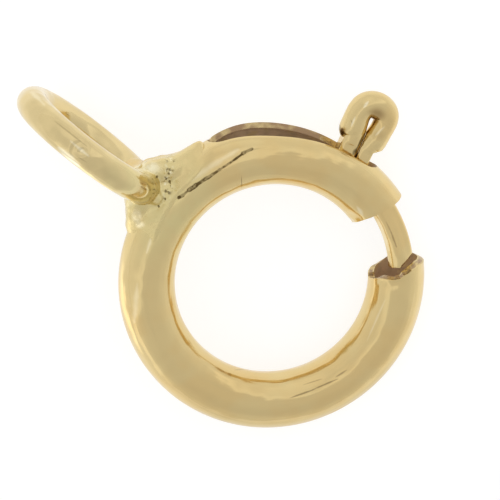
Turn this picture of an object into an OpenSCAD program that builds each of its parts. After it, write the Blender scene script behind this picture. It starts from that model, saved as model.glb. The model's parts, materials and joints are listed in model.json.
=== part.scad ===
// Spring ring clasp: a hollow ring with a sprung wire tongue, and a round eye soldered on upright.
// Millimetres and degrees. The clasp rests on z = 0 as it lies by itself, on its ring and its eye.
// Angles round the ring are measured anticlockwise from +X, seen from above; the eye sits at 180.

/* [Ring tube] */
// Outside diameter of the ring
ring_d = 6.00; // [5.5:0.1:7]
// Outside diameter of the tube that the ring is bent from
tube_d = 1.10; // [1:0.02:1.2]
// Thickness of the tube's wall
tube_wall = 0.12; // [0.09:0.01:0.14]

/* [Gap in the ring] */
// Angle of the mouth, the tube's end that takes the tip of the tongue
mouth_at = 41.4; // [38:0.2:44]
// Slant of the mouth's cut, which leaves the tube's outer side longer
mouth_slant = 13; // [0:1:16]
// Lean of the mouth's cut, which opens it to the upper side
mouth_lean = 6; // [0:1:12]
// Angle of the gate, the tube's end that the tongue comes out of
gate_at = 71.1; // [68:0.2:74]
// Slant of the gate's cut, which leaves the tube's outer side longer
gate_slant = 7; // [0:1:12]
// Lean of the gate's cut, which opens it to the upper side
gate_lean = 10; // [0:1:14]

/* [Tongue] */
// Diameter of the wire that the tongue and its trigger are bent from
wire_d = 0.49; // [0.44:0.01:0.52]
// How far the tongue's arc lies outside the middle line of the tube
tongue_out = 0.10; // [0:0.01:0.12]
// How far the tip of the tongue reaches into the mouth
tip_reach = 0.04; // [0.02:0.01:0.4]
// Length of the tip's tapered nose
nose_len = 0.10; // [0.05:0.01:0.15]
// Diameter of the flat end of the tip
nose_d = 0.31; // [0.2:0.01:0.36]
// Length of the wire's tail behind the trigger, which the spring pushes
tail_len = 0.28; // [0.1:0.02:0.5]

/* [Trigger] */
// Angle at which the trigger's middle line leaves the ring when the clasp is shut
trigger_at = 94.3; // [92:0.1:97]
// Lean of the trigger from the ring's radius, towards the eye
trigger_lean = 8.6; // [4:0.2:10]
// Turn of the tongue from shut to fully drawn back
travel = 48; // [44:1:49]
// Radius of the wire's middle line in the loop at the trigger's end
loop_bend = 0.28; // [0.27:0.01:0.32]
// Height of the loop's centre over the ring's outside
loop_height = 0.73; // [0.6:0.01:0.9]
// Height of the shoulders over the ring's outside, where the pinched legs begin
shoulder_height = 0.18; // [0.14:0.01:0.3]
// Width of each leg where it is pinched
leg_w = 0.31; // [0.26:0.01:0.36]
// Width of the slit between the two legs
slit_w = 0.025; // [0.02:0.005:0.03]
// Radius of the wire's middle line in the bends between the legs and the arc
foot_bend = 0.27; // [0.26:0.01:0.3]

/* [Slot] */
// Clearance between the legs and each long side of the slot
slot_side_clear = 0.075; // [0.05:0.005:0.09]
// Clearance between a leg and the slot's end, at both ends of the travel
slot_end_clear = 0.15; // [0.12:0.01:0.2]
// How far the slot's lower lip is raised over the round of the tube
lip_rise = 0.14; // [0.08:0.01:0.18]
// Radius of the rounded edge of the raised lip
lip_round = 0.12; // [0.1:0.01:0.14]

/* [Eye] */
// Outside diameter of the eye
eye_d = 3.29; // [2.8:0.01:3.8]
// Diameter of the eye's wire
eye_wire_d = 0.605; // [0.5:0.005:0.7]
// Depth to which the eye is sunk in the side of the tube
eye_bite = 0.07; // [0.03:0.01:0.09]

/* [Solder] */
// Radius of the solder's hollow face on the trigger's side of the eye
solder_near_fillet = 0.75; // [0.5:0.01:0.9]
// Radius of the solder's hollow face on the far side of the eye
solder_far_fillet = 0.60; // [0.3:0.01:0.7]
// Thickness of the solder from its top to its underside
solder_thick = 0.76; // [0.7:0.01:0.8]
// Width of the ridge of solder that has run along the tube towards the trigger
flow_w = 0.66; // [0.5:0.01:0.74]
// Height of that ridge over the tube
flow_rise = 0.05; // [0.03:0.01:0.08]
// Turn from the eye to the end of the ridge
flow_turn = 24.4; // [20:0.2:24.8]
// Diameter of the pip at the end of the ridge
pip_d = 0.20; // [0.16:0.01:0.24]

/* [Spring] */
// Outside diameter of the spring
spring_d = 0.70; // [0.6:0.01:0.76]
// Diameter of the spring's wire
spring_wire_d = 0.10; // [0.08:0.01:0.11]
// Number of turns of the spring
spring_turns = 22; // [16:1:24]
// Angle of the stop in the tube that the spring pushes against
stop_at = 225; // [218:1:232]
// Length of the stop along the tube
stop_len = 0.30; // [0.2:0.01:0.4]
// Gap left at each end of the spring
spring_end_gap = 0.04; // [0.02:0.01:0.08]

/* [Hidden] */

gold = [0.87, 0.76, 0.55];
pale_gold = [0.90, 0.80, 0.60];
spring_metal = [0.72, 0.58, 0.38];

// Rings and wires are true surfaces of revolution, and these only set how finely they are drawn.
fine = 96;
round_wire = 40;

ring_r = ring_d / 2;
tube_r = tube_d / 2;
bore_r = tube_r - tube_wall;
bend_r = ring_r - tube_r;
wire_r = wire_d / 2;
eye_wire_r = eye_wire_d / 2;
eye_bend = eye_d / 2 - eye_wire_r;
eye_at = 180;
eye_out = ring_r - eye_bite + eye_d / 2;
half_turn = 180;

// Where the wire is bent sharply or pinched it is a little thinner, and its end sits in the full wire.
thinning = 0.01;
lap = 0.03;
bent_r = wire_r - thinning;
leg_r = bent_r - thinning;

// The trigger stands beside a line through the ring's centre, on +X of a frame of its own.
trigger_turn = trigger_at + trigger_lean;
beside = ring_r * sin(trigger_lean);
loop_x = ring_r * cos(trigger_lean) + loop_height;
shoulder_r = ring_r + shoulder_height;
shoulder_x = sqrt(shoulder_r * shoulder_r - beside * beside);
leg_mid = slit_w / 2 + leg_r + thinning;
leg_side = slit_w / 2 + leg_w;

// The loop's sides lean together until only the slit is between them at the shoulders.
side_y = slit_w / 2 + wire_r;
loop_drop = loop_x - shoulder_x;
loop_lean = asin(loop_bend / sqrt(loop_drop * loop_drop + side_y * side_y)) - atan2(side_y, loop_drop);

// The slot lets both legs through, from shut to fully drawn back.
slot_half = leg_r + slot_side_clear;
slot_end_turn = turn_of(slot_end_clear, ring_r);
slot_from = leg_side_at(-1) - slot_end_turn;
slot_to = leg_side_at(1) + travel + slot_end_turn;
slot_round_turn = turn_of(slot_half, ring_r);
slot_mid = (slot_from + slot_to) / 2;

// The tongue's arc runs from the nose to the bend at one leg, and its tail from the other leg.
tongue_r = bend_r + tongue_out;
tip_at = mouth_at - turn_of(tip_reach - nose_len, tongue_r);
tail_to = foot_at(1) + turn_of(tail_len, tongue_r);

// The raised lip bends round a centre of its own, so that it sinks into the tube past each slot end.
lip_z = -slot_half - lip_round / 4;
lip_half_turn = (slot_to - slot_from) / 2;
lip_shift = lip_rise / (1 - cos(lip_half_turn));
lip_edge = sqrt(tube_r * tube_r - slot_half * slot_half) + lip_rise;
lip_x = lip_edge - sqrt(lip_round * lip_round - (slot_half + lip_z) * (slot_half + lip_z));
lip_past = 8;

// The spring's wire runs round the middle line of the tube, from the tail to the stop.
spring_r = spring_d / 2 - spring_wire_d / 2;
spring_end_turn = turn_of(spring_end_gap + spring_wire_d / 2, bend_r);
spring_from = tail_to + spring_end_turn;
spring_to = stop_at - spring_end_turn;
turn_steps = 12;
wire_sides = 5;

// At rest the ring's far side and the eye's lowest point touch the ground, which tilts the ring.
rest_tilt = asin((eye_d / 2 - tube_r) / (bend_r + eye_out));
ring_height = bend_r * sin(rest_tilt) + tube_r;
low_x = -eye_out * cos(rest_tilt) - eye_d / 2;
high_x = bend_r * cos(rest_tilt) + tube_r;
trigger_y = loop_x * sin(trigger_turn) - beside * cos(trigger_turn) + loop_bend + bent_r;
high_y = max(trigger_y, ring_r);

// A cut that goes right through a wall runs this far past it.
past = 0.4;
overrun = 10;

// Turn round the ring that a length makes at a radius.
function turn_of(length, radius) = length / radius * 180 / PI;

// Angle round the ring of a leg's outer side, in the slot: side -1 faces the gap and 1 the eye.
function leg_side_at(side) = trigger_turn + asin((side * leg_side - beside) / (ring_r - tube_wall));

// The bend at a leg's foot: how far its centre is beside the ring's, its place along the leg, and
// the angle round the ring at which it meets the tongue's arc.
function foot_y(side) = side * (leg_mid + foot_bend) - beside;
function foot_x(side) = sqrt(pow(tongue_r + foot_bend, 2) - pow(foot_y(side), 2));
function foot_at(side) = trigger_turn + atan2(foot_y(side), foot_x(side));

module at_rest() {
    translate([-(low_x + high_x) / 2, -(high_y - ring_r) / 2, ring_height])
        rotate([0, rest_tilt, 0]) children();
}

// A round wire bent to an arc, from one angle to another.
module bent(radius, thick_r, from, to) {
    rotate([0, 0, from])
        rotate_extrude(angle = to - from, $fn = fine)
            translate([radius, 0]) circle(r = thick_r, $fn = round_wire);
}

// Brings +X out along the ring's radius at an angle, and +Y on round the ring.
module facing(angle) {
    rotate([0, 0, angle]) children();
}

// The block that cuts off what lies on the +Y side of a slanted, leaning end of the tube.
module end_block(slant, lean) {
    rotate([0, 0, slant]) rotate([lean, 0, 0])
        translate([-tube_d, 0, -tube_d]) cube([2 * tube_d, 2 * past, 2 * tube_d]);
}

module end_cuts() {
    facing(mouth_at) translate([bend_r, 0, 0]) end_block(mouth_slant, mouth_lean);
    facing(gate_at) translate([bend_r, 0, 0]) mirror([0, 1, 0]) end_block(gate_slant, gate_lean);
}

// The slot's middle is as wide as its round ends, which start a little further out in the bore.
module slot_cut() {
    inner = bend_r + bore_r / 2;
    depth = tube_r + past;
    facing(slot_from + slot_round_turn)
        rotate_extrude(angle = slot_to - slot_from - 2 * slot_round_turn, $fn = fine)
            translate([inner, -slot_half]) square([depth, 2 * slot_half]);
    for (angle = [slot_from + slot_round_turn, slot_to - slot_round_turn])
        facing(angle) translate([inner + lap, 0, 0])
            rotate([0, 90, 0]) cylinder(r = slot_half - thinning, h = depth, $fn = round_wire);
}

module slot_lip() {
    reach = lip_half_turn + lip_past;
    facing(slot_mid) translate([lip_shift, 0, lip_z])
        bent(bend_r + lip_x - lip_shift, lip_round, -lip_reach(reach), lip_reach(reach));
}

// Turn about the lip's own centre that reaches an angle round the ring.
function lip_reach(angle) =
    let (r = bend_r + lip_x - lip_rise)
    atan2(r * sin(angle), r * cos(angle) - lip_shift);

// Solder in one corner between the eye's wire and the tube, on the +Y side. Its hollow face runs
// out on the tube where a line through both centres crosses it.
module solder_corner(fillet) {
    sink = 0.02;
    side = eye_wire_r + fillet - sink;
    out = sqrt(pow(ring_r + fillet - sink, 2) - side * side);
    turn = atan2(side, out);
    difference() {
        translate([0, 0, -solder_thick / 2]) linear_extrude(solder_thick)
            polygon([[bend_r, 0], [out, 0], [out, side], bend_r * [cos(turn), sin(turn)]]);
        translate([out, side, -solder_thick]) cylinder(r = fillet, h = 2 * solder_thick, $fn = fine);
    }
}

// The ridge of solder along the tube's outer side, with a rounded end and a pip.
module solder_flow() {
    flow_r = flow_w / 2;
    middle = ring_r + flow_rise - flow_r;
    bent(middle, flow_r, eye_at - flow_turn, eye_at);
    facing(eye_at - flow_turn) {
        translate([middle, 0, 0]) sphere(r = flow_r + thinning, $fn = fine);
        translate([ring_r, 0, 0]) sphere(r = pip_d / 2, $fn = round_wire);
    }
}

module solder() {
    reach = turn_of(solder_near_fillet + eye_wire_r, bend_r);
    facing(eye_at) intersection() {
        union() {
            mirror([0, 1, 0]) solder_corner(solder_near_fillet);
            solder_corner(solder_far_fillet);
        }
        bent(ring_r + eye_bite, solder_thick / 2, -reach, reach);
    }
    solder_flow();
}

module eye() {
    facing(eye_at) translate([eye_out, 0, 0]) rotate([90, 0, 0])
        rotate_extrude($fn = fine) translate([eye_bend, 0]) circle(r = eye_wire_r, $fn = round_wire);
}

module spring_stop() {
    bent(bend_r, bore_r + tube_wall / 2, stop_at, stop_at + turn_of(stop_len, bend_r));
}

module ring_body() {
    from = gate_at - overrun;
    to = mouth_at + 2 * half_turn + overrun;
    color(gold) at_rest() {
        difference() {
            union() {
                bent(bend_r, tube_r, from, to);
                slot_lip();
                solder();
                eye();
            }
            bent(bend_r, bore_r, from - 1, to + 1);
            slot_cut();
            end_cuts();
        }
        spring_stop();
    }
}

// Brings the trigger's middle line to +X, and the ring's centre beside it.
module at_trigger() {
    facing(trigger_turn) translate([0, -beside, 0]) children();
}

// One side of the loop, from the loop down to its shoulder, which follows the ring's round.
module loop_side(side) {
    difference() {
        translate([shoulder_x, side * side_y, 0]) rotate([0, 0, side * loop_lean])
            translate([-wire_d / 2, 0, 0]) rotate([0, 90, 0])
                cylinder(r = wire_r, h = wire_d / 2 + loop_drop / cos(loop_lean)
                    - loop_bend * tan(loop_lean), $fn = round_wire);
        translate([0, beside, -wire_d]) cylinder(r = shoulder_r, h = 2 * wire_d, $fn = fine * 2);
    }
}

// A pinched leg: the wire runs on down through the slot, flat on its outer side.
module leg(side) {
    from = foot_x(side) - lap;
    intersection() {
        translate([from, side * leg_mid, 0]) rotate([0, 90, 0])
            cylinder(r = leg_r, h = shoulder_r + lap - from, $fn = round_wire);
        translate([from - lap, side * leg_side / 2 - leg_side / 2, -wire_r])
            cube([shoulder_r, leg_side, wire_d]);
    }
}

// The bend inside the tube, from a leg to the tongue's arc or to its tail.
module foot(side) {
    along = half_turn + foot_at(side) - trigger_turn;
    lap_turn = turn_of(lap, foot_bend);
    translate([foot_x(side), side * (leg_mid + foot_bend), 0])
        if (side < 0) bent(foot_bend, bent_r, 90, along + lap_turn);
        else bent(foot_bend, bent_r, along - lap_turn, 270);
}

module tongue() {
    loop_to = 90 + loop_lean + turn_of(lap, loop_bend);
    color(pale_gold) at_rest() {
        at_trigger() {
            translate([loop_x, 0, 0]) bent(loop_bend, bent_r, -loop_to, loop_to);
            for (side = [-1, 1]) {
                loop_side(side);
                leg(side);
                foot(side);
            }
        }
        bent(tongue_r, wire_r, tip_at, foot_at(-1));
        bent(tongue_r, wire_r, foot_at(1), tail_to);
        facing(tip_at) translate([tongue_r, lap, 0]) rotate([90, 0, 0])
            cylinder(r1 = bent_r, r2 = nose_d / 2, h = nose_len + lap, $fn = round_wire);
    }
}

// A point on the spring's wire: the turn it has made, and the angle round the wire itself.
function spring_point(turns, side) =
    let (
        at = spring_from + (spring_to - spring_from) * turns / spring_turns,
        coil = 360 * turns,
        wire = 360 * side / wire_sides,
        out = spring_r + spring_wire_d / 2 * cos(wire),
        along = spring_wire_d / 2 * sin(wire),
        rho = bend_r + out * cos(coil)
    )
    [rho * cos(at) - along * sin(at), rho * sin(at) + along * cos(at), out * sin(coil)];

module spring() {
    rings = spring_turns * turn_steps;
    points = [for (i = [0:rings]) for (s = [0:wire_sides - 1]) spring_point(i / turn_steps, s)];
    walls = [for (i = [0:rings - 1]) for (s = [0:wire_sides - 1])
        let (a = i * wire_sides + s, b = i * wire_sides + (s + 1) % wire_sides)
        [a, b, b + wire_sides, a + wire_sides]];
    start = [for (s = [wire_sides - 1:-1:0]) s];
    end = [for (s = [0:wire_sides - 1]) rings * wire_sides + s];
    color(spring_metal) at_rest() polyhedron(points, concat(walls, [start, end]), convexity = 20);
}

ring_body();
tongue();
spring();
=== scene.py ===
import json
from math import asin, atan2, copysign, cos, degrees, exp, hypot, pi, radians, sin, sqrt

import bmesh
import bpy
from mathutils import Matrix, Vector, noise


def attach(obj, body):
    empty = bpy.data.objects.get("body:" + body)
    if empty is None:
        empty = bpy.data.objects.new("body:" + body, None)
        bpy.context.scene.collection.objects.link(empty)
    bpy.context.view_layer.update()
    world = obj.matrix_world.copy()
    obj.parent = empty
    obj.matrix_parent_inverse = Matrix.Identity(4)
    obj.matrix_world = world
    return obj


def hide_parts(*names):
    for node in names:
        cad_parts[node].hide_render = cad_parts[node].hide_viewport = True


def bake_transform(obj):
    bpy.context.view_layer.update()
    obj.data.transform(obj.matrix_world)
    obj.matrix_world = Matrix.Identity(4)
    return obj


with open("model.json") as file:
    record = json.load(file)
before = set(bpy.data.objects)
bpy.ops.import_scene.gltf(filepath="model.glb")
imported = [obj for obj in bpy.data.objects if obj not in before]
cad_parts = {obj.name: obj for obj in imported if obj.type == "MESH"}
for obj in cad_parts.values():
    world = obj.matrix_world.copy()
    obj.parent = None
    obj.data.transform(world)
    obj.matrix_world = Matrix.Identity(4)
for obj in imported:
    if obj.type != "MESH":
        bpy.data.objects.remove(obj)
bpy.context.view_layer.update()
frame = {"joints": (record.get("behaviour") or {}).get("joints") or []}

bl_info = {
    "name": "Spring ring clasp",
    "version": (1, 0, 0),
    "blender": (4, 5, 0),
    "location": "3D View > Sidebar > Clasp",
    "description": "Dresses a spring ring clasp: its tube, eye, solder, wire tongue and spring",
    "category": "Object",
}

# The ring's own frame, in millimetres: the ring's middle line lies in XY round the hinge's axis, and
# angles round the ring run anticlockwise from +X, with the eye at 180. RING brings it to the model.
MM = 0.001
HINGE = frame["joints"][0]
CENTRE = Vector(HINGE["pos_m"])
AXIS = Vector(HINGE["axis"]).normalized()
TILT = atan2(AXIS.x, AXIS.z)
RING = Matrix.Translation(CENTRE) @ Matrix.Rotation(TILT, 4, "Y") @ Matrix.Scale(MM, 4)

# Sizes that the part's source has too, in millimetres and in degrees round the ring.
BEND_R, TUBE_R, WALL = 2.45, 0.55, 0.12
MOUTH_AT, SLOT_FROM, SLOT_HALF = 401.4, 84.505, 0.30
EYE_OUT, EYE_BEND, EYE_WIRE_R = 4.575, 1.3425, 0.3025
TONGUE_R, TONGUE_TIP_AT, WIRE_R = 2.55, 42.75, 0.245
TRIGGER_TURN, BESIDE = 102.9, 0.4486
FOOT_BEND, TAIL_TO = 0.27, 110.388
SPRING_FROM, SPRING_TO, SPRING_R = 112.493, 222.895, 0.30

# Sizes that differ a little from the source's or aren't in it: the gate and the slot's lips follow the
# photograph, and the slot's far end also leaves room for the drawn-back trigger.
GATE_AT, SLOT_TO = 70.7, 152.2
LIP_RISE, LIP_PEAK_AT, UPPER_RISE, UPPER_DIP, LIP_SPREAD = 0.155, 138.0, 0.085, 7.5, 0.06

# The photograph's camera: directions to the camera, to the right and up, and a pixel's size.
TO_CAMERA = Vector((-0.1234, 0.1207, 0.9850))
PHOTO_UP = Vector((-0.5980, 0.7831, -0.1709))
PIXEL = 0.019417 * MM
PHOTO_SIDE = 500
RING_AT_PIXEL = (271.43, 277.86)
# How far off the camera stands, in metres. The photograph doesn't show it.
CAMERA_FAR = 0.35
SENSOR = 36.0


def photo_axes():
    """The photograph's right, up and towards the camera, in the model's frame."""
    toward = TO_CAMERA.normalized()
    right = PHOTO_UP.cross(toward).normalized()
    return right, toward.cross(right), toward


def smoothstep(low, high, value):
    """0 below low, 1 above high, and a soft step between them."""
    t = min(1.0, max(0.0, (value - low) / (high - low)))
    return t * t * (3.0 - 2.0 * t)


def within(reach, value):
    """0 outside the outer two of four limits, 1 inside the inner two, and soft steps between."""
    return smoothstep(*reach[:2], value) * (1.0 - smoothstep(*reach[2:], value))


def on_ring(turn, radius, height=0.0):
    """A point in the ring's frame, from its angle round the ring and its distance from the centre."""
    a = radians(turn)
    return Vector((radius * cos(a), radius * sin(a), height))


def ring_angle(point):
    """The angle round the ring, counted on from the gate to the mouth."""
    turn = degrees(atan2(point.y, point.x)) % 360.0
    return turn + 360.0 if turn < (GATE_AT + MOUTH_AT - 360.0) / 2 else turn


def on_section(point):
    """A point's angle round the ring, angle across the tube, and distance from the ring's axis."""
    rho = hypot(point.x, point.y)
    return ring_angle(point), atan2(point.z, rho - BEND_R), rho


def shade(colour, share):
    """The same colour with this share of its brightness."""
    return tuple(share * c for c in colour)


def trigger_point(x, y):
    """A point of the trigger's frame, whose X runs up the trigger, in the ring's frame."""
    return Matrix.Rotation(radians(TRIGGER_TURN), 3, "Z") @ Vector((x, y - BESIDE, 0.0))


class Value:
    """A socket of a finish. Sums, differences, products and quotients with it add Math nodes."""

    def __init__(self, finish, socket):
        self.finish = finish
        self.socket = socket

    def maths(self, operation, first, second=0.0):
        return self.finish.node("ShaderNodeMath", {"operation": operation}, {0: first, 1: second})

    def root(self):
        return self.maths("SQRT", self)

    def larger(self, other):
        return self.maths("MAXIMUM", self, other)

    def __add__(self, other):
        return self.maths("ADD", self, other)

    def __radd__(self, other):
        return self.maths("ADD", other, self)

    def __sub__(self, other):
        return self.maths("SUBTRACT", self, other)

    def __rsub__(self, other):
        return self.maths("SUBTRACT", other, self)

    def __mul__(self, other):
        return self.maths("MULTIPLY", self, other)

    def __rmul__(self, other):
        return self.maths("MULTIPLY", other, self)

    def __truediv__(self, other):
        return self.maths("DIVIDE", self, other)

    def size(self):
        return self.maths("ABSOLUTE", self)

    def step(self, low, high):
        """0 at low and 1 at high, or the other way round where low is the larger."""
        return self.finish.node(
            "ShaderNodeMapRange",
            {"interpolation_type": "SMOOTHSTEP"},
            {"Value": self, "From Min": low, "From Max": high, "To Min": 0.0, "To Max": 1.0},
        )


class Finish:
    """The shader of a material or a world, and the one method that adds nodes to it."""

    def __init__(self, holder):
        holder.use_nodes = True
        self.holder, self.tree = holder, holder.node_tree
        self.tree.nodes.clear()

    def node(self, kind, settings=None, sockets=None, output=0):
        node = self.tree.nodes.new(kind)
        for name, value in (settings or {}).items():
            setattr(node, name, value)
        for name, value in (sockets or {}).items():
            if isinstance(value, Value):
                self.tree.links.new(value.socket, node.inputs[name])
            else:
                node.inputs[name].default_value = value
        return Value(self, node.outputs[output]) if node.outputs else None

    def ring_place(self):
        """Object coordinates brought to the ring's frame, in millimetres."""
        place = self.node("ShaderNodeTexCoord", output="Object")
        return self.node(
            "ShaderNodeMapping",
            {"vector_type": "TEXTURE"},
            {"Vector": place, "Location": CENTRE, "Rotation": (0.0, TILT, 0.0), "Scale": (MM,) * 3},
        )

    def parts(self, vector):
        """The three numbers of a vector."""
        node = self.node("ShaderNodeSeparateXYZ", sockets={"Vector": vector}).socket.node
        return [Value(self, output) for output in node.outputs]

    def grain(self, place, scale, detail=2.0, rough=0.55):
        """Noise from 0 to 1 whose spots are about 1 / scale wide."""
        sockets = {"Vector": place, "Scale": scale, "Detail": detail, "Roughness": rough}
        return self.node("ShaderNodeTexNoise", sockets=sockets)

    def along(self, place, direction):
        product = {"operation": "DOT_PRODUCT"}
        return self.node("ShaderNodeVectorMath", product, {0: place, 1: direction}, output="Value")

    def photo_place(self):
        """Where a point of the object lies in the photograph, in pixels across and down."""
        place = self.node("ShaderNodeTexCoord", output="Object")
        right, up, _ = photo_axes()
        across = self.along(place, right / PIXEL) + (RING_AT_PIXEL[0] - CENTRE.dot(right) / PIXEL)
        down = self.along(place, -up / PIXEL) + (RING_AT_PIXEL[1] + CENTRE.dot(up) / PIXEL)
        return across, down

    def spot(self, at, middle, radius, soft=1.0):
        """1 inside a round mark, given in the photograph's pixels, and 0 outside it."""
        across, down = at
        x = (across - middle[0]) / radius[0]
        y = (down - middle[1]) / radius[1]
        return (x * x + y * y).root().step(1.0 + soft / 2, max(0.0, 1.0 - soft / 2))

    def stroke(self, at, start, end, half_width, soft=0.6, taper=0.0, waver=None):
        """1 on a straight stroke between two pixels of the photograph, and 0 off it.

        With taper its ends grow thin, and a waver from 0 to 1 makes its sides uneven.
        """
        across, down = at
        run = Vector(end) - Vector(start)
        x, y = across - start[0], down - start[1]
        part = self.node("ShaderNodeClamp", sockets={"Value": (x * run.x + y * run.y) / run.length_squared})
        x, y = x - part * run.x, y - part * run.y
        apart = (x * x + y * y).root()
        if waver:
            apart = apart + (waver - 0.5) * (half_width * 1.6)
        if taper:
            apart = apart + (1.0 - part * (1.0 - part) * 4.0) * (half_width * taper)
        return apart.step(half_width + soft / 2, max(0.0, half_width - soft / 2))

    def tube_place(self, place):
        """The angle round the ring in degrees, the distance out from the tube's middle, and the height."""
        x, y, z = self.parts(place)
        turn = x.maths("ARCTAN2", y, x) * (180.0 / pi)
        out = (x * x + y * y).root() - BEND_R
        return turn, out, z

    def drawn_lines(self, turn, out, z, fineness, run):
        """Noise drawn out along the tube, as drawing and polishing leave it."""
        place = self.node("ShaderNodeCombineXYZ", sockets={0: out * fineness, 1: z * fineness, 2: turn * run})
        return self.grain(place, 1.0, 2.0, 0.5)

    def mix(self, amount, first, second):
        """One colour turned into another by an amount from 0 to 1."""
        first, second = (value if isinstance(value, Value) else (*value, 1.0) for value in (first, second))
        return self.node("ShaderNodeMix", {"data_type": "RGBA"}, {0: amount, 6: first, 7: second}, output=2)

    def surface(self, colour, rough, bumps=None, metallic=1.0, more=None):
        """Ends the finish in one shader; bumps are given as their height, strength and depth."""
        sockets = {"Base Color": colour, "Roughness": rough, "Metallic": metallic, **(more or {})}
        if bumps:
            named = dict(zip(("Height", "Strength", "Distance"), bumps))
            sockets["Normal"] = self.node("ShaderNodeBump", sockets=named)
        shader = self.node("ShaderNodeBsdfPrincipled", sockets=sockets)
        self.node("ShaderNodeOutputMaterial", sockets={"Surface": shader})
        return self.holder


def new_skin(context, name):
    """The colours to use, a new material's finish, and a point's place in the ring's frame."""
    skin = Finish(bpy.data.materials.new(name))
    return context.scene.clasp_looks, skin, skin.ring_place()


def mesh_of(bm, name):
    """Turns a bmesh into a mesh."""
    mesh = bpy.data.meshes.new(name)
    bm.to_mesh(mesh)
    bm.free()
    return mesh


def add_piece(name, bm, finishes, body):
    """Makes an object of a mesh in the ring's frame, at the origin, with its place in its mesh."""
    bmesh.ops.transform(bm, matrix=RING, verts=bm.verts)
    mesh = mesh_of(bm, name)
    for finish in finishes:
        mesh.materials.append(finish)
    for face in mesh.polygons:
        face.use_smooth = True
    piece = bpy.data.objects.new(name, mesh)
    bpy.context.collection.objects.link(piece)
    if body:
        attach(piece, body)
    return piece


def evaluated(data, kind=None, **settings):
    """The mesh that a mesh or a curve evaluates to, through one modifier if a kind is given."""
    carrier = bpy.data.objects.new("passing", data)
    bpy.context.collection.objects.link(carrier)
    if kind:
        modifier = carrier.modifiers.new(kind.title(), kind)
        for name, value in settings.items():
            setattr(modifier, name, value)
    shaped = carrier.evaluated_get(bpy.context.evaluated_depsgraph_get())
    made = bmesh.new()
    made.from_mesh(shaped.to_mesh())
    shaped.to_mesh_clear()
    bpy.data.objects.remove(carrier)
    return made


def through_modifier(bm, kind, finishes=1, **settings):
    """Passes a mesh with a number of finishes through one modifier and brings the result back."""
    mesh = mesh_of(bm, "passing")
    for _ in range(finishes):
        mesh.materials.append(None)
    made = evaluated(mesh, kind, **settings)
    bpy.data.meshes.remove(mesh)
    return made


def point_outwards(bm):
    bmesh.ops.remove_doubles(bm, verts=bm.verts, dist=1e-6)
    bmesh.ops.recalc_face_normals(bm, faces=bm.faces)


def wire_along(stops, sides, kind="POLY"):
    """A round wire through points of the ring's frame, each with the wire's radius there."""
    curve = bpy.data.curves.new("wire", "CURVE")
    curve.dimensions = "3D"
    curve.bevel_depth = 1.0
    curve.bevel_resolution = sides
    curve.use_fill_caps = True
    line = curve.splines.new(kind)
    line.resolution_u = 6
    bent = kind == "BEZIER"
    points = line.bezier_points if bent else line.points
    points.add(len(stops) - 1)
    for point, (place, radius) in zip(points, stops):
        point.co = place if bent else (*place, 1.0)
        point.radius = radius
        if bent:
            point.handle_left_type = point.handle_right_type = "AUTO"
    bm = evaluated(curve)
    bpy.data.curves.remove(curve)
    point_outwards(bm)
    return bm


# Tube ---------------------------------------------------------------------------------------------

# Faces round the tube, and how many of them lie between the slot's middle and its edge.
SECTION, SLOT_ROWS = 96, 9
SLOT_EDGE = asin(SLOT_HALF / TUBE_R)
# The tube's stretches: where each ends and how many faces it has along it.
TUBE_STRETCHES = ((SLOT_FROM, 30), (SLOT_TO, 136), (205.0, 60), (380.0, 90), (MOUTH_AT, 44))
# How far the slanted ends and the slot's round ends pull the rows along with them, in degrees, and how
# far round the tube from the slot's edge its ends are still felt.
END_BLEND, SLOT_BLEND, SLOT_FELT = 13.0, 23.0, radians(50)


def section_row(angle):
    """Moves a row of the tube's section so that the rows crowd towards the slot's long edges."""
    reach = SLOT_ROWS * 2 * pi / SECTION
    size = abs(angle)
    if size <= reach:
        size = asin(sin(SLOT_EDGE) * sin(size / reach * pi / 2))
    else:
        size = SLOT_EDGE + (size - reach) * (pi - SLOT_EDGE) / (pi - reach)
    return copysign(size, angle)


def slot_end_shift(turn, row):
    """How far the tube's rows are pushed along it, so that the slot's ends come out round."""
    across = min(1.0, abs(sin(row)) / sin(SLOT_EDGE))
    if abs(row) > SLOT_EDGE:
        across = 1.0
    push = degrees(SLOT_HALF / (BEND_R + TUBE_R)) * (1.0 - sqrt(1.0 - across * across))
    push *= 1.0 - smoothstep(SLOT_EDGE, SLOT_EDGE + SLOT_FELT, abs(row))
    shift = 0.0
    for end, sign in ((SLOT_FROM, 1.0), (SLOT_TO, -1.0)):
        reach = min(SLOT_BLEND, end - GATE_AT) if turn < end else SLOT_BLEND
        shift += sign * push * max(0.0, 1.0 - abs(turn - end) / reach)
    return shift


# Where the tube's two ends are cut: angle across the tube, angle round the ring.
GATE_RIM = (
    (0, 70.05), (30, 70.2), (55, 70.5), (75, 71.0), (90, 71.7), (105, 72.2), (125, 72.8), (150, 72.8), (180, 71.6),
    (225, 70.5), (270, 69.7), (315, 69.6),
)
MOUTH_RIM = (
    (0, 43.1), (40, 42.9), (60, 42.0), (80, 40.4), (92, 38.6), (105, 38.2), (118, 38.4), (140, 38.1), (158, 37.1),
    (172, 36.5), (190, 38.4), (225, 40.2), (270, 42.6), (315, 43.5),
)


def rim_at(rim, row):
    """Where the tube ends at an angle across it, in degrees round the ring."""
    v = degrees(row) % 360.0
    for (v0, turn0), (v1, turn1) in zip(rim, rim[1:] + ((rim[0][0] + 360.0, rim[0][1]),)):
        if v0 <= v <= v1:
            return turn0 + (turn1 - turn0) * smoothstep(v0, v1, v)
    return rim[0][1]


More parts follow.
